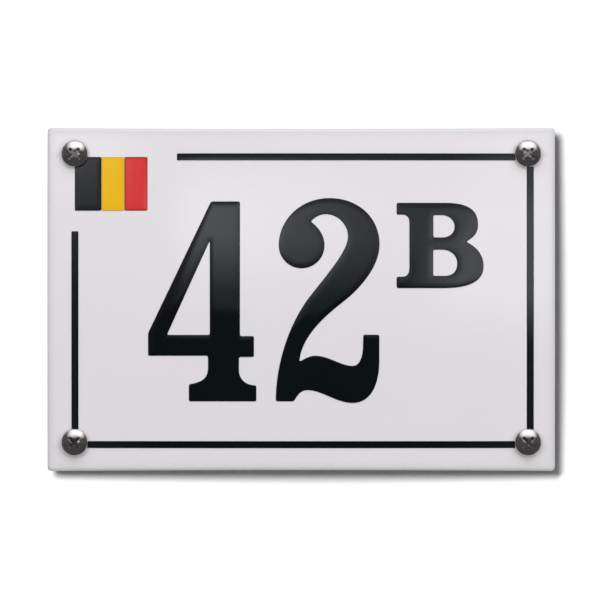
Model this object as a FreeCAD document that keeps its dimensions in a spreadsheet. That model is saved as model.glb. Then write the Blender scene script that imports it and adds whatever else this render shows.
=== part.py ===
import FreeCAD, Part
import os

import Sketcher
from FreeCAD import Placement, Rotation, Vector

# House number plaque: a domed, enamelled steel plate with raised enamel figures,
# a border line and a small flag, held to a wall by four pan head screws.
# Millimetres. X runs to the right and Z up. The wall is the plane y = 0 and the
# plate faces -Y. The origin is the middle of the hole pattern, on the wall. The plate
# hangs on its screws, so they sit a little above the middles of their holes.

doc = FreeCAD.newDocument("HouseNumberPlaque")

# Driving sizes

SIZES = {
    # pressed steel plate
    "plate_width": 150.0,
    "plate_height": 101.4,
    "plate_thickness": 1.6,
    "dome_rise": 2.0,
    "edge_bow": 0.33,
    "corner_radius": 1.0,
    "front_bevel": 0.6,
    "back_bevel": 0.5,
    # screw holes
    "hole_inset": 8.15,
    "hole_diameter": 5.0,
    # fired enamel that stands proud of the ground coat
    "relief_height": 0.3,
    "relief_hole_margin": 0.3,
    "relief_corner": 0.4,
    "artwork_shift_x": 0.4,
    "artwork_shift_z": -0.35,
    # border line
    "border_inset_side": 7.8,
    "border_inset_top": 8.25,
    "line_width": 2.0,
    # flag, hung from the border's top left corner
    "flag_height": 15.9,
    "black_field_width": 7.75,
    "yellow_field_width": 6.7,
    "red_field_width": 6.65,
    "field_gap": 0.15,
    "flag_to_top_line": 8.7,
    "flag_to_left_line": 6.0,
    # number, placed by the middle of its row
    "digit_height": 59.0,
    "letter_height": 25.2,
    "four_to_two_gap": 5.7,
    "two_to_letter_gap": 5.0,
    "letter_top_drop": 0.4,
    "number_shift_x": 3.9,
    "number_shift_z": -0.2,
    # pan head screws
    "screw_head_diameter": 8.0,
    "screw_head_height": 3.1,
    "screw_crown_rise": 0.7,
    "screw_crown_radius": 3.3,
    "screw_head_side": 1.7,
    "screw_seat_clearance": 0.02,
    "screw_lift": 0.45,
    "screw_neck_diameter": 3.0,
    "screw_neck_length": 2.5,
    "screw_thread_diameter": 4.0,
    "screw_length": 30.0,
    "screw_tip_length": 4.0,
    "recess_span": 4.4,
    "recess_floor_span": 2.4,
    "recess_depth": 2.0,
    "recess_wing_width": 0.9,
    "recess_turn": 45.0,
}

sheet = doc.addObject("Spreadsheet::Sheet", "Sizes")
for row, (alias, value) in enumerate(SIZES.items(), start=1):
    sheet.set(f"A{row}", alias)
    sheet.set(f"B{row}", str(value))
    sheet.setAlias(f"B{row}", alias)
doc.recompute()


def size(alias):
    """Value of one cell, in millimetres or degrees."""
    return float(getattr(sheet, alias))


def value_of(expression):
    """Value of an expression over the sheet's cells."""
    return float(sheet.evalExpression(expression))


# Sizes that follow from the driving ones, as expressions over the cells

HALF_DIAGONAL = "(sqrt(Sizes.plate_width ^ 2 + Sizes.plate_height ^ 2) / 2)"
BACK_RADIUS = f"(({HALF_DIAGONAL} ^ 2 + Sizes.dome_rise ^ 2) / (2 * Sizes.dome_rise))"
FRONT_RADIUS = f"({BACK_RADIUS} + Sizes.plate_thickness)"
RELIEF_RADIUS = f"({FRONT_RADIUS} + Sizes.relief_height)"
DOME_CENTRE_Y = f"({BACK_RADIUS} - Sizes.dome_rise)"
BLANK_DEPTH = "(4 * (Sizes.dome_rise + Sizes.plate_thickness + Sizes.relief_height))"
EDGE_BOW_RADIUS = "(((Sizes.plate_width / 2) ^ 2 + Sizes.edge_bow ^ 2) / (2 * Sizes.edge_bow))"

HOLE_X = "(Sizes.plate_width / 2 - Sizes.hole_inset)"
HOLE_Z = "(Sizes.plate_height / 2 - Sizes.hole_inset)"
HEAD_REACH = f"(sqrt({HOLE_X} ^ 2 + ({HOLE_Z} - Sizes.screw_lift) ^ 2) - Sizes.screw_head_diameter / 2)"
SEAT_Y = f"({DOME_CENTRE_Y} - sqrt({RELIEF_RADIUS} ^ 2 - {HEAD_REACH} ^ 2) - Sizes.screw_seat_clearance)"
CROWN_CHORD = "(Sizes.screw_crown_radius ^ 2 + Sizes.screw_crown_rise ^ 2)"
CROWN_SPHERE = f"({CROWN_CHORD} / (2 * Sizes.screw_crown_rise))"

BORDER_LEFT = "(Sizes.artwork_shift_x - Sizes.plate_width / 2 + Sizes.border_inset_side)"
BORDER_RIGHT = "(Sizes.artwork_shift_x + Sizes.plate_width / 2 - Sizes.border_inset_side)"
BORDER_TOP = "(Sizes.artwork_shift_z + Sizes.plate_height / 2 - Sizes.border_inset_top)"
BORDER_BOTTOM = "(Sizes.artwork_shift_z - Sizes.plate_height / 2 + Sizes.border_inset_top)"

YELLOW_LEFT = f"({BORDER_LEFT} + Sizes.black_field_width + Sizes.field_gap)"
RED_LEFT = f"({YELLOW_LEFT} + Sizes.yellow_field_width + Sizes.field_gap)"
FLAG_RIGHT = f"({RED_LEFT} + Sizes.red_field_width)"
FLAG_BOTTOM = f"({BORDER_TOP} - Sizes.flag_height)"

# Outlines of the number, on a grid of 100 units for the height of a figure

GRID = 100.0

FOUR = [
    ("start", 31.5, 100), ("line", 46, 100), ("line", 46, 32.7), ("line", 53, 32.7),
    ("line", 53, 22.2), ("line", 45.5, 22.2), ("line", 45.5, 15.5),
    ("curve", 45.5, 11.5, 48.5, 8.5, 52.5, 8.2), ("line", 54.2, 8), ("line", 54.2, 0),
    ("line", 20.4, 0), ("line", 20.4, 8.6), ("curve", 26.5, 9.6, 30, 11, 30, 17),
    ("line", 30, 22.8), ("line", 0, 22.8), ("line", 0, 34.2),
]
FOUR_OPENING = [("start", 30.9, 80.4), ("line", 30.9, 33.3), ("line", 9.5, 33.3)]

TWO = [
    ("start", 43.7, 33.4), ("line", 51.8, 33.4), ("line", 51.8, 20.4),
    ("curve", 51.8, 7.7, 47.1, -0.8, 38.5, -0.8), ("curve", 30.2, -0.8, 23.2, 5.6, 15.8, 5.6),
    ("curve", 12, 5.6, 10.7, 2.5, 9, 0), ("line", 0, 0), ("curve", 0, 20.4, 7.3, 39.2, 16.1, 51.3),
    ("curve", 25.1, 63, 36.1, 75, 36.1, 82.5), ("curve", 36.1, 88.6, 30.8, 93.6, 24.9, 93.6),
    ("curve", 22.2, 93.6, 19.5, 92.1, 17.5, 89.9), ("curve", 21.9, 86.9, 24.4, 82.5, 24.4, 78),
    ("arc", 13, 66.5, 1.5, 78), ("curve", 1.5, 91.3, 12.9, 101.7, 26.8, 101.7),
    ("curve", 41.4, 101.7, 51.9, 91.9, 51.9, 78.4), ("curve", 51.9, 67.7, 42.5, 56.9, 35.1, 50.9),
    ("curve", 28.1, 45.3, 12.7, 33.9, 11.9, 19.9), ("curve", 14.4, 21.4, 16.8, 22.9, 19.8, 22.9),
    ("curve", 26.6, 22.9, 32.5, 17.8, 38.6, 17.8), ("curve", 42.2, 17.8, 43.6, 23.1, 43.6, 28.1),
]

LETTER = [
    ("start", 0, 100), ("line", 57, 100), ("curve", 84.5, 100, 95.5, 91.5, 95.5, 74.5),
    ("curve", 95.5, 65, 91.5, 60, 81.5, 54.5), ("curve", 93, 49, 102, 40, 102, 26),
    ("curve", 102, 10, 89, 0, 55, 0), ("line", 0, 0), ("line", 0, 13.5), ("line", 6.5, 13.5),
    ("curve", 12.5, 13.5, 15, 16.5, 15, 24.5), ("line", 15, 77),
    ("curve", 15, 83, 12.5, 86, 6.5, 86), ("line", 0, 86),
]
LETTER_UPPER_OPENING = [
    ("start", 43.2, 85.5), ("line", 52.5, 85.5), ("curve", 61.5, 85.5, 68, 79.5, 68, 72),
    ("curve", 68, 64.5, 62, 59.5, 53.5, 59.5), ("line", 43.2, 59.5),
]
LETTER_LOWER_OPENING = [
    ("start", 43, 45), ("line", 53.5, 45), ("curve", 63.5, 45, 71, 38, 71, 29.5),
    ("curve", 71, 20, 66.5, 14.5, 56, 14.5), ("line", 43, 14.5),
]


def grid_width(path):
    """Width of an outline that starts at the left edge of its grid."""
    return max(step[-2] for step in path)


DIGIT_SCALE = f"(Sizes.digit_height / {GRID})"
LETTER_SCALE = f"(Sizes.letter_height / {GRID})"
ROW_WIDTH = (
    f"({grid_width(FOUR) + grid_width(TWO)} * {DIGIT_SCALE} + {grid_width(LETTER)} * {LETTER_SCALE}"
    " + Sizes.four_to_two_gap + Sizes.two_to_letter_gap)"
)
FOUR_LEFT = f"(Sizes.artwork_shift_x + Sizes.number_shift_x - {ROW_WIDTH} / 2)"
TWO_LEFT = f"({FOUR_LEFT} + {grid_width(FOUR)} * {DIGIT_SCALE} + Sizes.four_to_two_gap)"
LETTER_LEFT = f"({TWO_LEFT} + {grid_width(TWO)} * {DIGIT_SCALE} + Sizes.two_to_letter_gap)"
DIGIT_BASE = "(Sizes.artwork_shift_z + Sizes.number_shift_z - Sizes.digit_height / 2)"
LETTER_BASE = f"({DIGIT_BASE} + Sizes.digit_height - Sizes.letter_top_drop - Sizes.letter_height)"


# Helpers for objects, planes and sketches

HORIZONTAL_AXIS, VERTICAL_AXIS = range(-1, -3, -1)
START, END, CENTRE = range(1, 4)
FACING = Rotation(Vector(1, 0, 0), 90)
TOUCHING = 1e-4


def bind(item, bindings):
    """Bind properties of a document object to expressions over the sheet."""
    for name, expression in bindings.items():
        item.setExpression(name, str(expression))


def new_object(kind, name, bindings=None, **values):
    item = doc.addObject(kind, name)
    for key, value in values.items():
        setattr(item, key, value)
    bind(item, bindings or {})
    return item


def origin_item(body, role):
    """One of a body's own origin planes or axes, found by its role."""
    return next(item for item in body.Origin.OriginFeatures if item.Role == role)


def body_sketch(body, name, role):
    """Sketch of a body, laid on one of its own origin planes."""
    sketch = body.newObject("Sketcher::SketchObject", name)
    sketch.AttachmentSupport = (origin_item(body, role), [""])
    sketch.MapMode = "FlatFace"
    return sketch


def constrain(sketch, kind, *arguments):
    return sketch.addConstraint(Sketcher.Constraint(kind, *arguments))


def dimension(sketch, expression, kind, *arguments):
    """Driving dimension of a sketch, bound to the sheet."""
    index = constrain(sketch, kind, *arguments, value_of(expression))
    sketch.setExpression(f"Constraints[{index}]", expression)


def join_ends(sketch, pieces):
    """Join a closed chain of pieces whose ends already meet."""
    for one, other in zip(pieces, pieces[1:] + pieces[:1]):
        for one_end in (START, END):
            for other_end in (START, END):
                gap = sketch.getPoint(one, one_end) - sketch.getPoint(other, other_end)
                if gap.Length < TOUCHING:
                    constrain(sketch, "Coincident", one, one_end, other, other_end)


def outline_piece(step, before):
    """Line, arc through a point or cubic curve that one step of an outline draws."""
    kind, *numbers = step
    points = [Vector(x, z) for x, z in zip(numbers[::2], numbers[1::2])]
    if kind == "line":
        return Part.LineSegment(before, points[0])
    if kind == "arc":
        return Part.Arc(before, points[0], points[1])
    curve = Part.BezierCurve()
    curve.setPoles([before, *points])
    return curve.toBSpline()


def draw_outline(sketch, path):
    """Closed outline on the grid, held where it is drawn."""
    before = Vector(*path[0][1:])
    closing = ("line", *path[0][1:])
    pieces = []
    for step in [*path[1:], closing]:
        pieces.append(sketch.addGeometry(outline_piece(step, before)))
        before = Vector(*step[-2:])
    join_ends(sketch, pieces)
    for piece in pieces:
        constrain(sketch, "Block", piece)


def edge_names(shape, wanted):
    """Names of the edges that a test picks, as a fillet takes them."""
    numbered = enumerate(shape.Edges, start=1)
    return [f"Edge{number}" for number, edge in numbered if not edge.Degenerated and wanted(edge)]


def runs_through(edge):
    """Whether an edge is straight and runs along Y, as the corners of an outline do."""
    straight = isinstance(edge.Curve, Part.Line)
    return straight and edge.Curve.Direction.cross(Vector(0, 1, 0)).Length < TOUCHING


def break_edges(body, kind, name, size_name, amount, wanted):
    """Fillet or chamfer of the edges of a body that a test picks, its size bound to a cell."""
    base = body.Tip
    feature = body.newObject(kind, name)
    feature.Base = (base, edge_names(body.Shape, wanted))
    bind(feature, {size_name: amount})
    doc.recompute()


def add_fillet(body, name, radius, wanted):
    break_edges(body, "PartDesign::Fillet", name, "Radius", radius, wanted)


def add_chamfer(body, name, width, wanted):
    break_edges(body, "PartDesign::Chamfer", name, "Size", width, wanted)


# Spheres that bound the sheet and the raised enamel, about one centre behind the wall


def dome(name, radius):
    return new_object("Part::Sphere", name, {"Radius": radius, "Placement.Base.y": DOME_CENTRE_Y})


back_dome = dome("BackDome", BACK_RADIUS)
front_dome = dome("FrontDome", FRONT_RADIUS)
relief_dome = dome("ReliefDome", RELIEF_RADIUS)
relief_layer = new_object("Part::Cut", "ReliefLayer", Base=relief_dome, Tool=front_dome)


def block(name, outline):
    """Block that runs past the domes at both ends, on a closed outline."""
    return new_object(
        "Part::Extrusion", name, {"LengthFwd": BLANK_DEPTH, "LengthRev": "Sizes.dome_rise"},
        Base=outline, DirMode="Custom", Dir=Vector(0, -1, 0), Solid=True,
        FaceMakerClass="Part::FaceMakerBullseye",
    )


# Domed plate: blanked, pressed, eased at its rim and punched


def blank_outline():
    """Rectangle whose long edges draw in a little at their middles, as pressing leaves them."""
    sketch = new_object("Sketcher::SketchObject", "BlankOutline", Placement=Placement(Vector(), FACING))
    x, z = value_of("Sizes.plate_width / 2"), value_of("Sizes.plate_height / 2")
    bow = size("edge_bow")
    top, right, bottom, left = (
        sketch.addGeometry(piece)
        for piece in (
            Part.Arc(Vector(-x, z), Vector(0, z - bow), Vector(x, z)),
            Part.LineSegment(Vector(x, z), Vector(x, -z)),
            Part.Arc(Vector(x, -z), Vector(0, bow - z), Vector(-x, -z)),
            Part.LineSegment(Vector(-x, -z), Vector(-x, z)),
        )
    )
    join_ends(sketch, [top, right, bottom, left])
    constrain(sketch, "Symmetric", right, START, left, END, VERTICAL_AXIS)
    constrain(sketch, "Symmetric", right, START, left, START, HORIZONTAL_AXIS, START)
    constrain(sketch, "Vertical", right)
    dimension(sketch, "Sizes.plate_height", "DistanceY", right, END, right, START)
    dimension(sketch, "Sizes.plate_width", "DistanceX", left, END, right, START)
    dimension(sketch, EDGE_BOW_RADIUS, "Radius", top)
    dimension(sketch, EDGE_BOW_RADIUS, "Radius", bottom)
    return sketch


def punch_holes(body):
    """Four clearance holes for the screws, square to the wall."""
    sketch = body_sketch(body, "HoleCircles", "XZ_Plane")
    for right in (-1, 1):
        for up in (-1, 1):
            centre = Vector(right * value_of(HOLE_X), up * value_of(HOLE_Z))
            ring = Part.Circle(centre, Vector(0, 0, 1), size("hole_diameter") / 2)
            circle = sketch.addGeometry(ring)
            dimension(sketch, f"{right} * {HOLE_X}", "DistanceX", HORIZONTAL_AXIS, START, circle, CENTRE)
            dimension(sketch, f"{up} * {HOLE_Z}", "DistanceY", HORIZONTAL_AXIS, START, circle, CENTRE)
            dimension(sketch, "Sizes.hole_diameter", "Diameter", circle)
    pocket = body.newObject("PartDesign::Pocket", "ScrewHoles")
    pocket.Profile = sketch
    pocket.Type = "ThroughAll"
    pocket.SideType = "Symmetric"
    doc.recompute()


def meets_dome(radius):
    """Test for the edges where the sheet's side meets the dome of this radius."""
    centre = Vector(0, value_of(DOME_CENTRE_Y), 0)

    def wanted(edge):
        return all(abs((end.Point - centre).Length - radius) < TOUCHING for end in edge.Vertexes)

    return wanted


def make_plate():
    flat = block("Blank", blank_outline())
    pressed = new_object("Part::Common", "FrontPressed", Base=flat, Tool=front_dome)
    blank = new_object("Part::Cut", "BackPressed", Base=pressed, Tool=back_dome)
    doc.recompute()
    body = new_object("PartDesign::Body", "plate", Label="plate")
    body.BaseFeature = blank
    doc.recompute()
    add_fillet(body, "CornerRounding", "Sizes.corner_radius", runs_through)
    add_chamfer(body, "FrontBevel", "Sizes.front_bevel", meets_dome(value_of(FRONT_RADIUS)))
    add_chamfer(body, "BackBevel", "Sizes.back_bevel", meets_dome(value_of(BACK_RADIUS)))
    punch_holes(body)
    return body


# Raised enamel: every island is the layer between two domes, cut to its outline


def screw_clearance():
    """Cylinders that keep the raised enamel off the rims of the screw holes."""
    cylinders = []
    for right in (-1, 1):
        for up in (-1, 1):
            cylinders.append(new_object(
                "Part::Cylinder", "HoleMargin",
                {
                    "Radius": "Sizes.hole_diameter / 2 + Sizes.relief_hole_margin",
                    "Height": BLANK_DEPTH,
                    "Placement.Base.x": f"{right} * {HOLE_X}",
                    "Placement.Base.z": f"{up} * {HOLE_Z}",
                },
                Placement=Placement(Vector(), FACING),
            ))
    return new_object("Part::MultiFuse", "HoleMargins", Shapes=cylinders)


def raised(label, prism):
    """Raised island with its flowed corners rounded."""
    island = new_object("Part::Common", f"Island_{label}", Base=prism, Tool=relief_layer)
    doc.recompute()
    body = new_object("PartDesign::Body", label, Label=label)
    body.BaseFeature = island
    doc.recompute()
    add_fillet(body, f"Corners_{label}", "Sizes.relief_corner", runs_through)
    return body


def cleared(label, body, clear_of):
    """The same island kept off the rims of the screw holes."""
    return new_object("Part::Cut", label, Base=body, Tool=clear_of, Label=label)


def figure(label, outlines, scale, left, base):
    """Island on outlines that are drawn on the grid and brought to their real height and place."""
    grid = new_object("Sketcher::SketchObject", f"Grid_{label}")
    for path in outlines:
        draw_outline(grid, path)
    scaled = new_object(
        "Part::Scale", f"Sized_{label}",
        {"UniformScale": scale, "Placement.Base.x": left, "Placement.Base.z": base},
        Base=grid, Uniform=True, Placement=Placement(Vector(), FACING),
    )
    doc.recompute()
    return raised(label, block(f"Prism_{label}", scaled))


def bar(label, left, bottom, width, height):
    """Upright or level strip, or a field of the flag."""
    prism = new_object("Part::Box", f"Prism_{label}", {
        "Length": width, "Width": BLANK_DEPTH, "Height": height,
        "Placement.Base.x": left, "Placement.Base.y": f"-{BLANK_DEPTH}", "Placement.Base.z": bottom,
    })
    return raised(label, prism)


def make_number():
    return [
        figure("digit_four", [FOUR, FOUR_OPENING], DIGIT_SCALE, FOUR_LEFT, DIGIT_BASE),
        figure("digit_two", [TWO], DIGIT_SCALE, TWO_LEFT, DIGIT_BASE),
        figure("letter_b", [LETTER, LETTER_UPPER_OPENING, LETTER_LOWER_OPENING],
               LETTER_SCALE, LETTER_LEFT, LETTER_BASE),
    ]


def make_border(margins):
    """Four runs of line between the screws, the top and left ones stopping short of the flag."""
    line = "Sizes.line_width"
    half = f"({line} / 2)"
    top_start = f"({FLAG_RIGHT} + Sizes.flag_to_top_line)"
    left_length = f"{FLAG_BOTTOM} - Sizes.flag_to_left_line + {HOLE_Z}"
    runs = {
        "border_top": (top_start, f"{BORDER_TOP} - {half}", f"{HOLE_X} - {top_start}", line),
        "border_right": (f"{BORDER_RIGHT} - {half}", f"-{HOLE_Z}", line, f"2 * {HOLE_Z}"),
        "border_bottom": (f"-{HOLE_X}", f"{BORDER_BOTTOM} - {half}", f"2 * {HOLE_X}", line),
        "border_left": (f"{BORDER_LEFT} - {half}", f"-{HOLE_Z}", line, left_length),
    }
    return [cleared(label, bar(f"Run_{label}", *run), margins) for label, run in runs.items()]


def make_flag(margins):
    """Three upright fields side by side, the first one under the top left screw."""
    height = "Sizes.flag_height"
    black = bar("Run_flag_black", BORDER_LEFT, FLAG_BOTTOM, "Sizes.black_field_width", height)
    return [
        cleared("flag_black", black, margins),
        bar("flag_yellow", YELLOW_LEFT, FLAG_BOTTOM, "Sizes.yellow_field_width", height),
        bar("flag_red", RED_LEFT, FLAG_BOTTOM, "Sizes.red_field_width", height),
    ]


# Pan head screws with a cross recess, the thread drawn as its envelope


def screw_profile(body):
    """Half section of head, neck, thread and point, about the screw's own axis."""
    sketch = body_sketch(body, f"Section_{body.Label}", "XY_Plane")
    rise, sphere = size("screw_crown_rise"), value_of(CROWN_SPHERE)
    crown, top, side = size("screw_crown_radius"), size("screw_head_height"), size("screw_head_side")
    head, neck = size("screw_head_diameter") / 2, size("screw_neck_diameter") / 2
    thread, neck_end = size("screw_thread_diameter") / 2, size("screw_neck_length")
    end = size("screw_length")
    corners = [
        Vector(crown, rise - top), Vector(head, -side), Vector(head, 0), Vector(neck, 0),
        Vector(neck, neck_end), Vector(thread, neck_end), Vector(thread, end - size("screw_tip_length")),
        Vector(0, end), Vector(0, -top),
    ]
    half_way = Vector(crown / 2, sphere - top - (sphere ** 2 - crown ** 2 / 4) ** 0.5)
    cap = sketch.addGeometry(Part.Arc(corners[-1], half_way, corners[0]))
    sides = [sketch.addGeometry(Part.LineSegment(*ends)) for ends in zip(corners, corners[1:])]
    shoulder, rim, seat, shank, step, flank, point, axis = sides
    join_ends(sketch, [cap, *sides])
    constrain(sketch, "PointOnObject", cap, CENTRE, VERTICAL_AXIS)
    for line in (rim, shank, flank, axis):
        constrain(sketch, "Vertical", line)
    for line in (seat, step):
        constrain(sketch, "Horizontal", line)
    constrain(sketch, "PointOnObject", axis, END, VERTICAL_AXIS)
    across = {
        (shoulder, START): "Sizes.screw_crown_radius",
        (seat, START): "Sizes.screw_head_diameter / 2",
        (seat, END): "Sizes.screw_neck_diameter / 2",
        (flank, START): "Sizes.screw_thread_diameter / 2",
    }
    for (line, end_of), expression in across.items():
        dimension(sketch, expression, "DistanceX", HORIZONTAL_AXIS, START, line, end_of)
    dimension(sketch, "0", "DistanceY", HORIZONTAL_AXIS, START, seat, START)
    dimension(sketch, "Sizes.screw_head_side", "DistanceY", rim, START, rim, END)
    dimension(sketch, "Sizes.screw_head_height", "DistanceY", axis, END, seat, START)
    dimension(sketch, "Sizes.screw_crown_rise", "DistanceY", axis, END, shoulder, START)
    dimension(sketch, "Sizes.screw_neck_length", "DistanceY", seat, END, flank, START)
    dimension(sketch, "Sizes.screw_length", "DistanceY", seat, END, point, END)
    dimension(sketch, "Sizes.screw_tip_length", "DistanceY", point, START, point, END)
    return sketch


def recess_outline(body):
    """Side view of one slot of the cross, narrowing to its floor as the driver does."""
    sketch = body_sketch(body, f"Slot_{body.Label}", "XY_Plane")
    mouth, floor = size("recess_span") / 2, size("recess_floor_span") / 2
    top = -size("screw_head_height")
    bottom = top + size("recess_depth")
    corners = [Vector(-mouth, top), Vector(mouth, top), Vector(floor, bottom), Vector(-floor, bottom)]
    lines = [
        sketch.addGeometry(Part.LineSegment(before, after))
        for before, after in zip(corners, corners[1:] + corners[:1])
    ]
    join_ends(sketch, lines)
    wide, _, narrow, _ = lines
    for line in (wide, narrow):
        constrain(sketch, "Symmetric", line, START, line, END, VERTICAL_AXIS)
    dimension(sketch, "Sizes.recess_span", "DistanceX", wide, START, wide, END)
    dimension(sketch, "Sizes.recess_floor_span", "DistanceX", narrow, END, narrow, START)
    dimension(sketch, "Sizes.screw_head_height", "DistanceY", wide, START, HORIZONTAL_AXIS, START)
    dimension(sketch, "Sizes.recess_depth", "DistanceY", wide, START, narrow, END)
    return sketch


def make_screw(label, right, up):
    body = new_object("PartDesign::Body", label, Label=label)
    turned = body.newObject("PartDesign::Revolution", f"Turned_{label}")
    turned.Profile = screw_profile(body)
    turned.ReferenceAxis = (origin_item(body, "Y_Axis"), [""])
    turned.Angle = 360
    slot = body.newObject("PartDesign::Pocket", f"Recess_{label}")
    slot.Profile = recess_outline(body)
    slot.SideType = "Symmetric"
    bind(slot, {"Length": "Sizes.recess_wing_width"})
    doc.recompute()
    cross = body.newObject("PartDesign::PolarPattern", f"Cross_{label}")
    cross.Originals = [slot]
    cross.Axis = (origin_item(body, "Y_Axis"), [""])
    cross.Angle = 90
    cross.Occurrences = 2
    body.Tip = cross
    body.Placement = Placement(Vector(), Rotation(Vector(0, 1, 0), size("recess_turn")))
    bind(body, {
        "Placement.Base.x": f"{right} * {HOLE_X}",
        "Placement.Base.y": SEAT_Y,
        "Placement.Base.z": f"{up} * {HOLE_Z} + Sizes.screw_lift",
        "Placement.Rotation.Angle": "Sizes.recess_turn",
    })
    doc.recompute()
    return body


def make_screws():
    return [
        make_screw(f"screw_{height}_{side}", right, up)
        for height, up in (("top", 1), ("bottom", -1))
        for side, right in (("left", -1), ("right", 1))
    ]


# The whole plaque, checked and written one solid to a file


def check(pieces):
    """Stop if any object failed, or if a piece is not a sound solid."""
    failed = [item.Name for item in doc.Objects if {"Invalid", "Error"} & set(item.State)]
    if failed:
        raise RuntimeError(f"failed objects: {failed}")
    for piece in pieces:
        shape = piece.Shape
        if shape.isNull() or not shape.isValid() or len(shape.Solids) != 1:
            raise RuntimeError(f"{piece.Label} is not one sound solid")


def main():
    plate = make_plate()
    margins = screw_clearance()
    pieces = [plate, *make_number(), *make_border(margins), *make_flag(margins), *make_screws()]
    doc.recompute()
    check(pieces)
    os.makedirs("parts", exist_ok=True)
    for piece in pieces:
        piece.Shape.exportStep(f"parts/{piece.Label}.step")
        box = piece.Shape.BoundBox
        reach = f"{box.XLength:.2f} x {box.YLength:.2f} x {box.ZLength:.2f} mm"
        print(f"{piece.Label}: {piece.Shape.Volume:.2f} mm3, {reach}")


main()
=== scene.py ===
# %% [markdown]
# # An enamelled house number plaque
#
# The real object is a pressed steel sheet, coated with glass enamel and fired. Each colour is a
# separate coat that stands a little proud of the white, and four pan head screws hold the plaque.
# The sheet is domed, so its black parts mirror the studio and its shape can be read from them.
# Everything here is in metres, in the frame of the solid model, which is loaded first.

# %% Load the solid model
import math

import bpy
import numpy as np
from mathutils import Matrix, Vector
from mathutils.geometry import delaunay_2d_cdt


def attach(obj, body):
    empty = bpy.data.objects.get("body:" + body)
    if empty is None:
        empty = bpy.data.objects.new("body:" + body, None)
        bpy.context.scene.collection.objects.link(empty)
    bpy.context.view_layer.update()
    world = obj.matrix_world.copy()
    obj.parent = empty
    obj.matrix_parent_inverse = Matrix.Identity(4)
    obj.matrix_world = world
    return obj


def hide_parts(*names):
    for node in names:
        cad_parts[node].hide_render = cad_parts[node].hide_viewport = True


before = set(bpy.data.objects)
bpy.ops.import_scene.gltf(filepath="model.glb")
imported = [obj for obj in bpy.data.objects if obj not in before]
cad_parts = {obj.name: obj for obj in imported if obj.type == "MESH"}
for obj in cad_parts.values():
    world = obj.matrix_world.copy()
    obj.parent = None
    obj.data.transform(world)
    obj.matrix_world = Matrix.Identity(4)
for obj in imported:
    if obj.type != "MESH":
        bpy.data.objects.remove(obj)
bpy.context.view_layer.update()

scene = bpy.context.scene
MM = 0.001
print("solid pieces:", len(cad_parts))

# %% [markdown]
# ## Camera
# The photograph looks straight at the plaque, from far enough to keep its edges parallel. A long
# lens at one metre gives the same field. Its aim is a fraction of a millimetre off the middle.

# %% Camera
CAMERA_DISTANCE = 1.0025
CAMERA_AIM = (-0.369 * MM, -0.133 * MM)
LENS_LENGTH, SENSOR_WIDTH = 203.3, 36.0
camera_data = bpy.data.cameras.new("camera")
camera_data.lens = LENS_LENGTH
camera_data.sensor_width = SENSOR_WIDTH
camera = bpy.data.objects.new("camera", camera_data)
camera.location = (CAMERA_AIM[0], -CAMERA_DISTANCE, CAMERA_AIM[1])
camera.rotation_euler = (math.pi / 2, 0.0, 0.0)
scene.collection.objects.link(camera)
scene.camera = camera
scene.view_settings.view_transform = "Standard"
print("field at one metre in mm:", round(SENSOR_WIDTH / LENS_LENGTH / MM, 2))

# %% [markdown]
# ## Sizes
# Lengths are in millimetres here, because outlines are easier to read that way. They repeat the
# sizes of the solid model. The dome is part of a very large sphere, centred behind the plaque.
# The artwork sits a little to the right and low on the sheet, as the two shifts say.

# %% Sizes shared by every piece
WIDTH, HEIGHT, THICKNESS = 150.0, 101.4, 1.6
DOME_RISE, EDGE_BOW = 2.0, 0.33
RELIEF = 0.3
HALF_DIAGONAL = math.hypot(WIDTH, HEIGHT) / 2
BACK_RADIUS = (HALF_DIAGONAL ** 2 + DOME_RISE ** 2) / (2 * DOME_RISE)
FRONT_RADIUS = BACK_RADIUS + THICKNESS
DOME_CENTRE = BACK_RADIUS - DOME_RISE
HOLE_INSET, HOLE_RADIUS = 8.15, 2.5
HOLE_X, HOLE_Z = WIDTH / 2 - HOLE_INSET, HEIGHT / 2 - HOLE_INSET
HOLE_CENTRES = [(right * HOLE_X, up * HOLE_Z) for right in (-1, 1) for up in (-1, 1)]
SHIFT_X, SHIFT_Z = 0.4, -0.35
LINE_WIDTH, LINE_INSET_X, LINE_INSET_Z = 2.1, 7.8, 8.25
BORDER_LEFT, BORDER_RIGHT = SHIFT_X - WIDTH / 2 + LINE_INSET_X, SHIFT_X + WIDTH / 2 - LINE_INSET_X
BORDER_TOP, BORDER_BOTTOM = SHIFT_Z + HEIGHT / 2 - LINE_INSET_Z, SHIFT_Z - HEIGHT / 2 + LINE_INSET_Z
print("dome and sheet together are", round(FRONT_RADIUS - DOME_CENTRE, 3), "mm deep")

# %% [markdown]
# ## Outlines
# A painter's stencil is straight runs, round runs and free curves. A path of steps holds one
# outline, on a grid where a figure is 100 high. The steps are sampled finely, spaced evenly and
# averaged over a short window, which rounds each corner as melted enamel does.

# %% Outlines from steps
STEP_SAMPLES, FEWEST_POINTS, FINE_SPACING = 160, 12, 0.05


def walk(path):
    """Fine samples along a closed path of steps."""
    samples = []
    before = np.array(path[0][1:], float)
    for kind, *numbers in [*path[1:], ("line", *path[0][1:])]:
        points = np.array(numbers, float).reshape(-1, 2)
        t = np.linspace(0.0, 1.0, STEP_SAMPLES, endpoint=False)[:, None]
        if kind == "line":
            run = before + (points[0] - before) * t
        elif kind == "curve":
            run = ((1 - t) ** 3 * before + 3 * (1 - t) ** 2 * t * points[0]
                   + 3 * (1 - t) * t ** 2 * points[1] + t ** 3 * points[2])
        else:
            run = arc_through(before, points[0], points[1], t)
        samples.append(run)
        before = points[-1]
    return np.vstack(samples)


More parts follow.
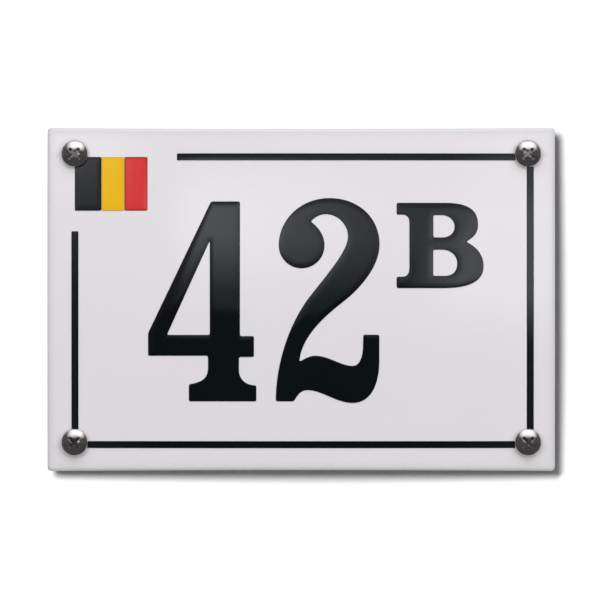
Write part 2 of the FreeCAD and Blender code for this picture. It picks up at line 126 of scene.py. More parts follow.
def arc_through(start, middle, end, t):
    """Points on the circle through three points, from the first to the last by the middle one."""
    rows = np.array([middle - start, end - start])
    centre = start + np.linalg.solve(rows, (rows ** 2).sum(axis=1) / 2)
    angles = [math.atan2(*(point - centre)[::-1]) for point in (start, middle, end)]
    turns = [(angle - angles[0]) % (2 * math.pi) for angle in angles]
    sweep = turns[2] if turns[1] < turns[2] else turns[2] - 2 * math.pi
    angle = angles[0] + sweep * t[:, 0]
    radius = np.linalg.norm(start - centre)
    return centre + radius * np.stack([np.cos(angle), np.sin(angle)], axis=1)


def evenly(points, spacing):
    """The same closed line with its points evenly spaced."""
    closed = np.vstack([points, points[:1]])
    lengths = np.linalg.norm(np.diff(closed, axis=0), axis=1)
    along = np.concatenate([[0.0], np.cumsum(lengths)])
    count = max(FEWEST_POINTS, int(round(along[-1] / spacing)))
    where = np.linspace(0.0, along[-1], count, endpoint=False)
    return np.stack([np.interp(where, along, closed[:, axis]) for axis in (0, 1)], axis=1)


def soften(points, spacing, window):
    """Round the corners of an evenly spaced closed line by a moving average."""
    reach = max(1, int(round(window / spacing / 2)))
    rolled = [np.roll(points, shift, axis=0) for shift in range(-reach, reach + 1)]
    return np.mean(rolled, axis=0)


def turned(points, anticlockwise=True):
    """The same loop, running the way that is asked."""
    x, z = points.T
    area = np.sum(x * np.roll(z, -1) - np.roll(x, -1) * z)
    return points if (area > 0) == anticlockwise else points[::-1]


def stencil(paths, spacing, window, scale=1.0, left=0.0, base=0.0):
    """Loops of a shape in millimetres, the outer one first and its openings after it."""
    loops = []
    for number, path in enumerate(paths):
        loop = evenly(walk(path) * scale + np.array([left, base]), FINE_SPACING)
        loop = evenly(soften(loop, FINE_SPACING, window), spacing)
        loops.append(turned(loop, anticlockwise=number == 0))
    return loops


def box_path(left, bottom, width, height):
    """Steps of a plain strip or field."""
    return [("start", left, bottom), ("line", left + width, bottom),
            ("line", left + width, bottom + height), ("line", left, bottom + height)]


def ring_of(centre_x, centre_z, radius, count):
    """A round loop."""
    angle = np.linspace(0.0, 2 * math.pi, count, endpoint=False)
    return np.stack([centre_x + radius * np.cos(angle), centre_z + radius * np.sin(angle)], axis=1)


trial = stencil([box_path(0.0, 0.0, 10.0, 2.0)], 0.25, 0.6)
print("a strip of 10 by 2 mm has", len(trial[0]), "points round it")

# %% [markdown]
# ## From an outline to a sheet
# A coat of enamel is flat in its middle and rolls over at its edge. Its height therefore depends
# on one thing, the distance to the nearest edge. A Delaunay fill joins the outline, a few rows
# set in from it and an even grid into triangles, and each point is lifted by that distance.
# Lifting by distance keeps sharp serifs clean, where an offset outline would fold over itself.

# %% Distances and fills
BATCH = 1000
ROW_RATIO = 0.866
KEPT_SHARE, MERGE_GRID = 0.96, 0.05


def normals_of(loop):
    """Directions that point away from the filled side of a loop."""
    run = np.roll(loop, -1, axis=0) - np.roll(loop, 1, axis=0)
    run /= np.linalg.norm(run, axis=1)[:, None]
    return np.stack([run[:, 1], -run[:, 0]], axis=1)


def nearest_edge(loops, points):
    """Distance to the nearest outline, and the direction that leads to it."""
    starts = np.vstack(loops)
    spans = np.vstack([np.roll(loop, -1, axis=0) - loop for loop in loops])
    lengths = (spans ** 2).sum(axis=1)
    distance, lead = np.empty(len(points)), np.empty((len(points), 2))
    for first in range(0, len(points), BATCH):
        part = points[first:first + BATCH, None, :]
        t = np.clip(((part - starts) * spans).sum(axis=2) / lengths, 0.0, 1.0)
        gap = starts + spans * t[..., None] - part
        away = np.linalg.norm(gap, axis=2)
        best = away.argmin(axis=1)
        rows = np.arange(len(best))
        distance[first:first + BATCH] = away[rows, best]
        lead[first:first + BATCH] = gap[rows, best] / np.maximum(away[rows, best], 1e-9)[:, None]
    return distance, lead


def is_inside(loops, points):
    """Whether each point is on the filled side, by counting the outlines crossed."""
    crossings = np.zeros(len(points), int)
    for loop in loops:
        x1, z1 = loop.T
        x2, z2 = np.roll(loop, -1, axis=0).T
        for first in range(0, len(points), BATCH):
            x, z = points[first:first + BATCH].T[:, :, None]
            straddles = (z1 > z) != (z2 > z)
            rise = np.where(z2 == z1, 1.0, z2 - z1)
            crossed = straddles & (x < x1 + (z - z1) / rise * (x2 - x1))
            crossings[first:first + BATCH] += crossed.sum(axis=1)
    return crossings % 2 == 1


def grid_inside(loops, spacing, margin):
    """Staggered grid of points inside the loops, clear of their edges by a margin."""
    low, high = np.vstack(loops).min(axis=0), np.vstack(loops).max(axis=0)
    rows = np.arange(low[1], high[1], spacing * ROW_RATIO)
    points = [
        (x + (number % 2) * spacing / 2, z)
        for number, z in enumerate(rows)
        for x in np.arange(low[0], high[0], spacing)
    ]
    points = np.array(points)
    points = points[is_inside(loops, points)]
    return points[nearest_edge(loops, points)[0] > margin]


def fill(loops, others):
    """Triangles over the loops and the other points, kept where they are inside."""
    points = np.vstack([*loops, *others])
    edges, first = [], 0
    for loop in loops:
        count = len(loop)
        edges += [(first + i, first + (i + 1) % count) for i in range(count)]
        first += count
    flat = [Vector(point) for point in points]
    placed, _, faces, origins, _, _ = delaunay_2d_cdt(flat, edges, [], 0, 1e-6)
    faces = np.array([[origins[corner][0] for corner in face] for face in faces])
    faces = faces[is_inside(loops, points[faces].mean(axis=1))]
    a, b, c = (points[faces[:, k]] for k in range(3))
    flipped = ((b - a)[:, 0] * (c - a)[:, 1] - (b - a)[:, 1] * (c - a)[:, 0]) < 0
    faces[flipped] = faces[flipped][:, ::-1]
    return points, faces


def rows_inside(loops, insets):
    """Rows of points set in from the outline, without those that a corner brings nearer."""
    rows = []
    for inset in insets:
        row = np.vstack([loop - normals_of(loop) * inset for loop in loops])
        distance, _ = nearest_edge(loops, row)
        row = row[(distance > KEPT_SHARE * inset) & is_inside(loops, row)]
        rows.append(row[np.unique(np.round(row / MERGE_GRID), axis=0, return_index=True)[1]])
    return rows

print("from the middle of the strip to its edge:", nearest_edge(trial, np.array([[5.0, 1.0]]))[0], "mm")

# %% [markdown]
# ## Edges and crowns
# Surface tension pulls molten glass into a quarter ellipse at an edge, and a broad, very low
# crown runs behind it. Both are functions of the distance, with their slopes, because the slope
# gives an exact normal. A mirror finish shows any error in a normal at once.

# %% Edge profiles
def rolled_edge(width, height):
    """Height and slope of a quarter ellipse that ends level at a given distance."""
    def profile(distance):
        part = np.clip(1.0 - distance / width, 0.0, 1.0)
        root = np.sqrt(np.maximum(1.0 - part ** 2, 1e-6))
        return height * root, height / width * part / root
    return profile


def crown(width, height):
    """Height and slope of a low parabola that ends level at a given distance."""
    def profile(distance):
        part = np.clip(1.0 - distance / width, 0.0, 1.0)
        return height * (1.0 - part ** 2), 2.0 * height / width * part
    return profile


def stacked(*profiles, base=0.0):
    """Several profiles on top of each other."""
    def profile(distance):
        pairs = [one(distance) for one in profiles]
        return base + sum(pair[0] for pair in pairs), sum(pair[1] for pair in pairs)
    return profile


def ellipse_insets(width, steps):
    """Rows that divide a rolled edge evenly by angle."""
    return [width * (1.0 - math.cos(math.pi / 2 * k / steps)) for k in range(1, steps + 1)]

print("a low crown at 0.3 mm from an edge:", crown(2.0, 0.022)(0.3)[0].round(4), "mm high")

# %% [markdown]
# ## A closed sheet
# Front, back and wall are put together flat, with the front towards -Y. Each point also carries
# its normal on the flat sheet and its distance from the edge, which the finishes read later.

# %% Flat sheet as a mesh
WALL_SIDE, BACK_SIDE = 1, 2
BACK_COARSENESS = 4


def flat_sheet(name, loops, front, back, front_insets, back_insets, spacing):
    """Closed flat mesh between a front and a back height, both functions of the edge distance."""
    count = sum(len(loop) for loop in loops)
    sides = []
    for insets, gap in ((front_insets, spacing), (back_insets, BACK_COARSENESS * spacing)):
        margin = (max(insets) if insets else 0.0) + 0.5 * gap
        sides.append(fill(loops, [*rows_inside(loops, insets), grid_inside(loops, gap, margin)]))
    outward = np.vstack([normals_of(loop) for loop in loops])
    places, leans, reaches = [], [], []
    for (points, _), profile, facing in zip(sides, (front, back), (-1.0, 1.0)):
        distance, lead = nearest_edge(loops, points)
        distance[:count], lead[:count] = 0.0, outward
        height, slope = profile(distance)
        lean = np.stack([lead[:, 0] * slope, np.full(len(points), facing), lead[:, 1] * slope], axis=1)
        places.append(np.stack([points[:, 0], -height, points[:, 1]], axis=1))
        leans.append(lean / np.linalg.norm(lean, axis=1)[:, None])
        reaches.append(distance)
    start = len(places[0])
    faces = [tuple(face) for face in sides[0][1]]
    front_count = len(faces)
    first = 0
    for loop in loops:
        for i in range(len(loop)):
            here, after = first + i, first + (i + 1) % len(loop)
            faces.append((here, start + here, start + after, after))
        first += len(loop)
    wall_count = len(faces)
    faces += [tuple(start + corner for corner in face[::-1]) for face in sides[1][1]]
    mesh = bpy.data.meshes.new(name)
    mesh.from_pydata(np.vstack(places) * MM, [], faces)
    side_of = np.zeros(len(faces), int)
    side_of[front_count:wall_count] = WALL_SIDE
    side_of[wall_count:] = BACK_SIDE
    for label, kind, domain, key, values in (
            ("lean", "FLOAT_VECTOR", "POINT", "vector", np.vstack(leans).ravel()),
            ("edge_mm", "FLOAT", "POINT", "value", np.concatenate(reaches)),
            ("side", "INT", "FACE", "value", side_of)):
        mesh.attributes.new(label, kind, domain).data.foreach_set(key, values)
    return mesh


print("the two sides of a sheet have the numbers 0 and", BACK_SIDE, "and its wall has", WALL_SIDE)

# %% [markdown]
# ## Pressing
# The press gives the whole sheet one dome. That is a rule for every point, so a Geometry Nodes
# tree does it, with the radius and the centre as named inputs. The same tree then presses the
# coats of enamel, which is why they follow the sheet exactly. The drop below the crown of the
# dome is written without a difference of two large numbers, which would lose the fine detail.

# %% Helpers for every node tree
def add_node(tree, kind, **settings):
    """A node with its settings, whichever kind of tree it is in."""
    node = tree.nodes.new(kind)
    for key, value in settings.items():
        setattr(node, key, value)
    return node


def feed(tree, socket, value):
    """Link a socket to another one, or set its value."""
    if isinstance(value, bpy.types.NodeSocket):
        tree.links.new(value, socket)
    else:
        socket.default_value = value


def maths(tree, operation, *values):
    """A math node on its values, or one more for each value past the second."""
    node = add_node(tree, "ShaderNodeMath", operation=operation)
    for socket, value in zip(node.inputs, values[:2]):
        feed(tree, socket, value)
    return maths(tree, operation, node.outputs[0], *values[2:]) if values[2:] else node.outputs[0]


def map_range(tree, value, *limits):
    """A value carried from one range to another: its two limits before, then the two after."""
    node = add_node(tree, "ShaderNodeMapRange")
    for socket, given in zip(node.inputs, (value, *limits)):
        feed(tree, socket, given)
    return node.outputs[0]


def vector_of(tree, *values):
    """A vector from three numbers."""
    node = add_node(tree, "ShaderNodeCombineXYZ")
    for socket, value in zip(node.inputs, values):
        feed(tree, socket, value)
    return node.outputs[0]


def axes_of(tree, vector):
    """The three numbers of a vector."""
    node = add_node(tree, "ShaderNodeSeparateXYZ")
    feed(tree, node.inputs[0], vector)
    return node.outputs


def geometry_step(tree, kind, geometry, **values):
    """The geometry after one more node, whose other inputs are linked or set by their labels."""
    node = add_node(tree, kind)
    for label, value in (("Geometry", geometry), *values.items()):
        feed(tree, node.inputs[label], value)
    return node.outputs[0]


def new_tree(name, kind, inputs, outputs):
    """A node tree with named sockets, and its two end nodes."""
    tree = bpy.data.node_groups.new(name, kind)
    for label, socket_kind, *default in inputs:
        socket = tree.interface.new_socket(label, in_out="INPUT", socket_type="NodeSocket" + socket_kind)
        if default:
            socket.default_value = default[0]
    for label, socket_kind in outputs:
        tree.interface.new_socket(label, in_out="OUTPUT", socket_type="NodeSocket" + socket_kind)
    return tree, add_node(tree, "NodeGroupInput"), add_node(tree, "NodeGroupOutput")


print("node helpers are ready")

# %% Press as a node tree
def press_tree():
    """Geometry Nodes tree that lays a flat sheet on a dome."""
    tree, given, made = new_tree(
        "press", "GeometryNodeTree",
        [("Sheet", "Geometry"), ("Dome Radius", "Float"), ("Dome Centre", "Float"),
         ("Face Finish", "Material"), ("Reverse Finish", "Material")],
        [("Piece", "Geometry")])
    sheet, radius, centre, face_finish, reverse_finish = given.outputs[:5]
    x, y, z = axes_of(tree, add_node(tree, "GeometryNodeInputPosition").outputs[0])
    reach = maths(tree, "SUBTRACT", radius, y)
    across = maths(tree, "ADD", maths(tree, "MULTIPLY", x, x), maths(tree, "MULTIPLY", z, z))
    inner = maths(tree, "SQRT", maths(tree, "SUBTRACT", maths(tree, "MULTIPLY", reach, reach), across))
    drop = maths(tree, "DIVIDE", across, maths(tree, "ADD", reach, inner))
    crest = maths(tree, "SUBTRACT", centre, radius)
    place = vector_of(tree, x, maths(tree, "ADD", crest, y, drop), z)
    side = add_node(tree, "GeometryNodeInputNamedAttribute", data_type="INT")
    side.inputs["Name"].default_value = "side"
    is_back = add_node(tree, "FunctionNodeCompare", data_type="INT", operation="EQUAL")
    number = next(socket for socket in side.outputs if socket.name == "Attribute" and socket.enabled)
    for socket, value in zip([socket for socket in is_back.inputs if socket.enabled], (number, BACK_SIDE)):
        feed(tree, socket, value)
    last = geometry_step(tree, "GeometryNodeSetPosition", sheet, Position=place)
    last = geometry_step(tree, "GeometryNodeRealizeInstances", last)
    last = geometry_step(tree, "GeometryNodeSetMaterial", last, Material=face_finish)
    last = geometry_step(tree, "GeometryNodeSetMaterial", last, Material=reverse_finish,
                         Selection=is_back.outputs[0])
    feed(tree, made.inputs[0], last)
    return tree


PRESS = press_tree()
print("press tree has", len(PRESS.nodes), "nodes")


# %% Make a tree's result a plain mesh
def grow(name, mesh, tree, values):
    """Run a tree on a mesh with its inputs set by name, and keep the result as a plain piece."""
    blank = bpy.data.objects.new(name, mesh)
    scene.collection.objects.link(blank)
    modifier = blank.modifiers.new("tree", "NODES")
    modifier.node_group = tree
    for item in tree.interface.items_tree:
        if item.in_out == "INPUT" and item.name in values:
            modifier[item.identifier] = values[item.name]
    depsgraph = bpy.context.evaluated_depsgraph_get()
    grown = bpy.data.meshes.new_from_object(blank.evaluated_get(depsgraph), depsgraph=depsgraph)
    blank.modifiers.remove(modifier)
    blank.data = grown
    grown.name = name
    bpy.data.meshes.remove(mesh)
    return blank


def dome_normals(mesh):
    """Exact normals: the flat sheet's own, tipped with the dome at each point."""
    count = len(mesh.vertices)
    place, lean = np.empty(count * 3, np.float32), np.empty(count * 3, np.float32)
    mesh.vertices.foreach_get("co", place)
    mesh.attributes["lean"].data.foreach_get("vector", lean)
    place, lean = place.reshape(-1, 3).astype(float), lean.reshape(-1, 3).astype(float)
    radial = place - np.array([0.0, DOME_CENTRE * MM, 0.0])
    radial /= np.linalg.norm(radial, axis=1)[:, None]
    tipped = lean + (radial - np.array([0.0, -1.0, 0.0])) * -lean[:, 1:2]
    tipped /= np.linalg.norm(tipped, axis=1)[:, None]
    corners = np.empty(len(mesh.loops), int)
    mesh.loops.foreach_get("vertex_index", corners)
    mesh.polygons.foreach_set("use_smooth", [True] * len(mesh.polygons))
    mesh.normals_split_custom_set(tipped[corners])
    mesh.attributes.remove(mesh.attributes["lean"])


def pressed(name, mesh, face_finish, reverse_finish=None):
    """A flat sheet pressed to the dome, with its finishes on."""
    piece = grow(name, mesh, PRESS, {
        "Dome Radius": FRONT_RADIUS * MM, "Dome Centre": DOME_CENTRE * MM,
        "Face Finish": face_finish, "Reverse Finish": reverse_finish or face_finish,
    })
    dome_normals(piece.data)
    return piece

print("sheets are pressed on a front of", round(FRONT_RADIUS), "mm radius")

# %% [markdown]
# ## Finishes
# Fired enamel is glass: a diffuse colour under a sharp reflection, never quite flat. Three
# effects are shared, so each is a node group. Orange peel is the slow ripple of the fired
# surface. At its edge a coat runs thin and its colour changes, and the darker edge tone is also
# painted shade on the rolled edge. Flecks are the tiny specks that burn into a coat in the kiln.

# %% Shared effects
EDGE_WAVES = 420.0


def object_place(tree):
    """Where a point is on its object, which every pattern here follows."""
    return add_node(tree, "ShaderNodeTexCoord").outputs["Object"]


def noise(tree, scale, detail=2.0):
    """Smooth noise over an object."""
    node = add_node(tree, "ShaderNodeTexNoise")
    for label, value in (("Vector", object_place(tree)), ("Scale", scale), ("Detail", detail)):
        feed(tree, node.inputs[label], value)
    return node.outputs[0]


def ripple_group():
    """Height of the slow ripple and the fine orange peel of fired glass."""
    tree, given, made = new_tree(
        "orange peel", "ShaderNodeTree",
        [("Ripple Scale", "Float", 120.0), ("Peel Scale", "Float", 900.0), ("Peel Share", "Float", 0.25)],
        [("Height", "Float")])
    ripple, peel = (noise(tree, scale, detail=1.0) for scale in given.outputs[:2])
    feed(tree, made.inputs[0], maths(tree, "ADD", ripple, maths(tree, "MULTIPLY", peel, given.outputs[2])))
    return tree


def edge_and_shade_group():
    """Mask that is full at the edge of a coat and fades in from it, a little unevenly; it places the edge
    tone, which on the front coats is partly painted shade of the rolled edge.
    """
    tree, given, made = new_tree(
        "fired edge and shade", "ShaderNodeTree",
        [("Edge Distance", "Float"), ("Width", "Float", 0.5), ("Unevenness", "Float", 0.4)],
        [("Mask", "Float")])
    distance, width, unevenness = given.outputs[:3]
    uneven = maths(tree, "MULTIPLY", maths(tree, "SUBTRACT", noise(tree, EDGE_WAVES), 0.5), unevenness)
    part = maths(tree, "DIVIDE", distance, maths(tree, "MULTIPLY", width, maths(tree, "ADD", uneven, 1.0)))
    feed(tree, made.inputs[0], maths(tree, "EXPONENT", maths(tree, "MULTIPLY", part, part, -1.0)))
    return tree


def fleck_group():
    """Mask of rare round specks of uneven size."""
    tree, given, made = new_tree(
        "kiln flecks", "ShaderNodeTree",
        [("Scale", "Float", 160.0), ("Size", "Float", 0.05), ("Amount", "Float", 0.3)],
        [("Mask", "Float")])
    scale, size, amount = given.outputs[:3]
    cells = add_node(tree, "ShaderNodeTexVoronoi")
    feed(tree, cells.inputs["Vector"], object_place(tree))
    feed(tree, cells.inputs["Scale"], scale)
    chance, growth, _ = axes_of(tree, cells.outputs["Color"])
    reach = maths(tree, "MULTIPLY", size, maths(tree, "ADD", growth, 0.3))
    near = maths(tree, "LESS_THAN", cells.outputs["Distance"], reach)
    feed(tree, made.inputs[0], maths(tree, "MULTIPLY", maths(tree, "LESS_THAN", chance, amount), near))
    return tree


ORANGE_PEEL, FIRED_EDGE_AND_SHADE, KILN_FLECKS = ripple_group(), edge_and_shade_group(), fleck_group()
print("shared effects:", ORANGE_PEEL.name, FIRED_EDGE_AND_SHADE.name, KILN_FLECKS.name)

# %% [markdown]
# ## Enamel
# The colour of a coat is never quite even. It clouds slowly from one tone to another, changes at
# its thin edge, where the darker edge tone of a front coat is also painted shade on the rolled
# edge, and carries a few flecks. The roughness wanders in the same way. The back of the sheet has
# only the first coat, called the ground coat, which is darker, rougher and more flecked.

# %% Enamel
FLECK_SHARE = 0.6


def new_material(name, **constants):
    """A material with one Principled shader, its constants set on the shader's own sockets."""
    material = bpy.data.materials.new(name)
    material.use_nodes = True
    shader = material.node_tree.nodes["Principled BSDF"]
    for label, value in constants.items():
        shader.inputs[label.replace("_", " ")].default_value = value
    return material, material.node_tree, shader


def add_group(tree, group, **values):
    """The output of a shared effect, with its inputs linked or set."""
    node = add_node(tree, "ShaderNodeGroup", node_tree=group)
    for label, value in values.items():
        feed(tree, node.inputs[label.replace("_", " ")], value)
    return node.outputs[0]


def mixed(tree, mask, first, second):
    """Colour that goes from the first to the second with a mask."""
    node = add_node(tree, "ShaderNodeMix", data_type="RGBA")
    feed(tree, node.inputs[0], mask)
    for socket, value in zip(node.inputs[6:8], (first, second)):
        feed(tree, socket, value if isinstance(value, bpy.types.NodeSocket) else (*value, 1.0))
    return node.outputs[2]


def cloudiness(tree, scale, low, high):
    """Slow, faint change over a surface, as a number between two limits."""
    return map_range(tree, noise(tree, scale), 0.3, 0.7, low, high)


def rippled(tree, shader, strength, distance, **scales):
    """Give a finish the ripple and orange peel of its surface."""
    bump = add_node(tree, "ShaderNodeBump")
    bump.inputs["Strength"].default_value = strength
    bump.inputs["Distance"].default_value = distance
    feed(tree, bump.inputs["Height"], add_group(tree, ORANGE_PEEL, **scales))
    feed(tree, shader.inputs["Normal"], bump.outputs[0])


def enamel(name, colour, deep, edge, edge_width, fleck, fleck_amount=0.12, roughness=0.04,
           ripple=0.8e-6, index=1.6):
    """Fired enamel: cloudy colour, thin uneven edge whose darker tone is partly painted shade, a few flecks
    and a rippled, glassy surface.
    """
    material, tree, shader = new_material(name, IOR=index)
    body = mixed(tree, cloudiness(tree, 35.0, 0.0, 1.0), colour, deep)
    reach = add_node(tree, "ShaderNodeAttribute", attribute_name="edge_mm").outputs["Fac"]
    # edge tone: a thinner coat at the edge, and on the front coats painted shade on the rolled shoulder
    body = mixed(tree, add_group(tree, FIRED_EDGE_AND_SHADE, Edge_Distance=reach, Width=edge_width), body, edge)
    flecks = add_group(tree, KILN_FLECKS, Amount=fleck_amount)
    body = mixed(tree, maths(tree, "MULTIPLY", flecks, FLECK_SHARE), body, fleck)
    feed(tree, shader.inputs["Base Color"], body)
    feed(tree, shader.inputs["Roughness"], cloudiness(tree, 90.0, roughness * 0.8, roughness * 1.3))
    rippled(tree, shader, 1.0, ripple)
    return material


# The third colour of each front coat is its edge tone: partly a thinner coat, partly painted shade on the
# rolled edge. On the white it also paints a shade ring round each screw hole, beside the head.
WHITE = enamel("white enamel", (0.806, 0.773, 0.800), (0.798, 0.769, 0.796), (0.690, 0.680, 0.700),
               edge_width=1.6, fleck=(0.62, 0.60, 0.58), fleck_amount=0.08)
BLACK = enamel("black enamel", (0.0040, 0.0060, 0.0068), (0.0050, 0.0070, 0.0078), (0.002, 0.003, 0.0035),
               edge_width=0.3, fleck=(0.03, 0.03, 0.03))
YELLOW = enamel("yellow enamel", (0.848, 0.494, 0.002), (0.836, 0.478, 0.001), (0.76, 0.41, 0.003),
                edge_width=0.35, fleck=(0.45, 0.25, 0.05), index=1.5)
RED = enamel("red enamel", (0.692, 0.036, 0.036), (0.678, 0.034, 0.033), (0.38, 0.010, 0.006),
             edge_width=0.45, fleck=(0.2, 0.01, 0.01), index=1.55)
GROUND = enamel("ground coat", (0.012, 0.014, 0.020), (0.020, 0.023, 0.030), (0.05, 0.045, 0.04),
                edge_width=0.8, fleck=(0.12, 0.13, 0.15), fleck_amount=0.5, roughness=0.3, ripple=3e-6)
print("enamels:", [material.name for material in (WHITE, BLACK, YELLOW, RED, GROUND)])

# %% [markdown]
# ## The domed sheet
# The blank is a rectangle whose long edges draw in a little at their middles, with small round
# corners and four punched holes. Enamel rolls over the rim in a soft quarter ellipse, and the
# back keeps its dark ground coat.

# %% Plate
RIM_WIDTH, RIM_DROP = 1.2, 0.75
BACK_ROUND, BACK_CUT = 0.5, 0.35
BACK_INSETS = [0.12, 0.25, 0.5, 1.6]
PLATE_SPACING = 2.0


def blank_path():
    """Steps of the blank, with its long edges bowed in."""
    x, z = WIDTH / 2, HEIGHT / 2
    return [("start", -x, -z), ("arc", 0.0, EDGE_BOW - z, x, -z), ("line", x, z),
            ("arc", 0.0, z - EDGE_BOW, -x, z)]


def back_of_plate(distance):
    """Height and slope of the plate's back, rounded towards its edges."""
    part = np.clip(1.0 - distance / BACK_ROUND, 0.0, 1.0)
    return -THICKNESS + BACK_CUT * part ** 2, 2.0 * BACK_CUT / BACK_ROUND * part


blank = stencil([blank_path()], 0.8, 2.2)
holes = [turned(ring_of(*centre, HOLE_RADIUS, 48), anticlockwise=False) for centre in HOLE_CENTRES]
plate = pressed("plate_enamelled", flat_sheet(
    "plate_flat", [*blank, *holes],
    front=stacked(rolled_edge(RIM_WIDTH, RIM_DROP), base=-RIM_DROP), back=back_of_plate,
    front_insets=ellipse_insets(RIM_WIDTH, 8), back_insets=BACK_INSETS, spacing=PLATE_SPACING,
), WHITE, GROUND)
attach(plate, "root")
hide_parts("plate")
print("plate:", len(plate.data.polygons), "faces")

# %% [markdown]
# ## The raised coats
# Figures, letter, border lines and flag are all the same kind of thing, a coat of enamel on a
# stencilled outline, so one function makes them. A coat starts with a very low wall, rolls over
# in a narrow shoulder, and swells to a low crown. Its back lies on the white. Where a coat would
# run under a screw it keeps clear of the hole, as on the real plaque.

# %% Coat of enamel
COAT_WALL, COAT_ROLL, SHOULDER = 0.02, 0.25, 0.16
CROWN_INSETS = [0.35, 0.6]
OUTLINE_SPACING = 0.25


def back_of_coat(distance):
    """Height and slope of a coat's back, level with the front of the sheet."""
    return np.zeros(len(distance)), np.zeros(len(distance))


def coat(name, node, loops, finish, spacing=0.7, crown_width=2.0, crown_height=0.022):
    """A raised coat on its outline, pressed to the dome of the sheet."""
    piece = pressed(name, flat_sheet(
        name + "_flat", loops,
        front=stacked(rolled_edge(SHOULDER, COAT_ROLL), crown(crown_width, crown_height), base=COAT_WALL),
        back=back_of_coat, front_insets=ellipse_insets(SHOULDER, 4) + CROWN_INSETS, back_insets=[],
        spacing=spacing,
    ), finish)
    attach(piece, "root")
    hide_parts(node)
    return piece


print("a coat is", round(COAT_WALL + COAT_ROLL + 0.022, 3), "mm high at most")

# %% Figures and letter
FOUR = [
    ("start", 31.5, 100), ("line", 46, 100), ("line", 46, 32.7), ("line", 53, 32.7),
    ("line", 53, 22.2), ("line", 45.5, 22.2), ("line", 45.5, 15.5),
    ("curve", 45.5, 11.5, 48.5, 8.5, 52.5, 8.2), ("line", 54.2, 8), ("line", 54.2, 0),
    ("line", 20.4, 0), ("line", 20.4, 8.6), ("curve", 26.5, 9.6, 30, 11, 30, 17),
    ("line", 30, 22.8), ("line", 0, 22.8), ("line", 0, 34.2),
]
FOUR_OPENING = [("start", 30.9, 80.4), ("line", 30.9, 33.3), ("line", 9.5, 33.3)]
TWO = [
    ("start", 43.7, 33.4), ("line", 51.8, 33.4), ("line", 51.8, 20.4),
    ("curve", 51.8, 7.7, 47.1, -0.8, 38.5, -0.8), ("curve", 30.2, -0.8, 23.2, 5.6, 15.8, 5.6),
    ("curve", 12, 5.6, 10.7, 2.5, 9, 0), ("line", 0, 0), ("curve", 0, 20.4, 7.3, 39.2, 16.1, 51.3),
    ("curve", 25.1, 63, 36.1, 75, 36.1, 82.5), ("curve", 36.1, 88.6, 30.8, 93.6, 24.9, 93.6),
    ("curve", 22.2, 93.6, 19.5, 92.1, 17.5, 89.9), ("curve", 21.9, 86.9, 24.4, 82.5, 24.4, 78),
    ("arc", 13, 66.5, 1.5, 78), ("curve", 1.5, 91.3, 12.9, 101.7, 26.8, 101.7),
    ("curve", 41.4, 101.7, 51.9, 91.9, 51.9, 78.4), ("curve", 51.9, 67.7, 42.5, 56.9, 35.1, 50.9),
    ("curve", 28.1, 45.3, 12.7, 33.9, 11.9, 19.9), ("curve", 14.4, 21.4, 16.8, 22.9, 19.8, 22.9),
    ("curve", 26.6, 22.9, 32.5, 17.8, 38.6, 17.8), ("curve", 42.2, 17.8, 43.6, 23.1, 43.6, 28.1),
]
LETTER = [
    ("start", 0, 100), ("line", 57, 100), ("curve", 84.5, 100, 95.5, 91.5, 95.5, 74.5),
    ("curve", 95.5, 65, 91.5, 60, 81.5, 54.5), ("curve", 93, 49, 102, 40, 102, 26),
    ("curve", 102, 10, 89, 0, 55, 0), ("line", 0, 0), ("line", 0, 13.5), ("line", 6.5, 13.5),
    ("curve", 12.5, 13.5, 15, 16.5, 15, 24.5), ("line", 15, 77),
    ("curve", 15, 83, 12.5, 86, 6.5, 86), ("line", 0, 86),
]
LETTER_UPPER_OPENING = [
    ("start", 43.2, 85.5), ("line", 52.5, 85.5), ("curve", 61.5, 85.5, 68, 79.5, 68, 72),
    ("curve", 68, 64.5, 62, 59.5, 53.5, 59.5), ("line", 43.2, 59.5),
]
LETTER_LOWER_OPENING = [
    ("start", 43, 45), ("line", 53.5, 45), ("curve", 63.5, 45, 71, 38, 71, 29.5),
    ("curve", 71, 20, 66.5, 14.5, 56, 14.5), ("line", 43, 14.5),
]
FIGURE_HEIGHT, LETTER_HEIGHT = 59.0, 25.2
FIGURE_SCALE, LETTER_SCALE = FIGURE_HEIGHT / 100, LETTER_HEIGHT / 100
FOUR_WIDTH, TWO_WIDTH, LETTER_WIDTH = 54.2 * FIGURE_SCALE, 51.9 * FIGURE_SCALE, 102 * LETTER_SCALE
FOUR_TO_TWO, TWO_TO_LETTER, LETTER_DROP = 5.7, 5.0, 0.4
ROW_RIGHT, ROW_DROP = 3.9, 0.2
FIGURE_WINDOW = 1.1
ROW_WIDTH = FOUR_WIDTH + TWO_WIDTH + LETTER_WIDTH + FOUR_TO_TWO + TWO_TO_LETTER
FOUR_LEFT = SHIFT_X + ROW_RIGHT - ROW_WIDTH / 2
TWO_LEFT = FOUR_LEFT + FOUR_WIDTH + FOUR_TO_TWO
LETTER_LEFT = TWO_LEFT + TWO_WIDTH + TWO_TO_LETTER
FIGURE_BASE = SHIFT_Z - ROW_DROP - FIGURE_HEIGHT / 2
LETTER_BASE = FIGURE_BASE + FIGURE_HEIGHT - LETTER_DROP - LETTER_HEIGHT

for name, node, paths, scale, left, base in (
        ("four_coat", "digit_four", [FOUR, FOUR_OPENING], FIGURE_SCALE, FOUR_LEFT, FIGURE_BASE),
        ("two_coat", "digit_two", [TWO], FIGURE_SCALE, TWO_LEFT, FIGURE_BASE),
        ("letter_coat", "letter_b", [LETTER, LETTER_UPPER_OPENING, LETTER_LOWER_OPENING],
         LETTER_SCALE, LETTER_LEFT, LETTER_BASE)):
    loops = stencil(paths, OUTLINE_SPACING, FIGURE_WINDOW, scale, left, base)
    piece = coat(name, node, loops, BLACK)
    print(name, len(piece.data.polygons), "faces")

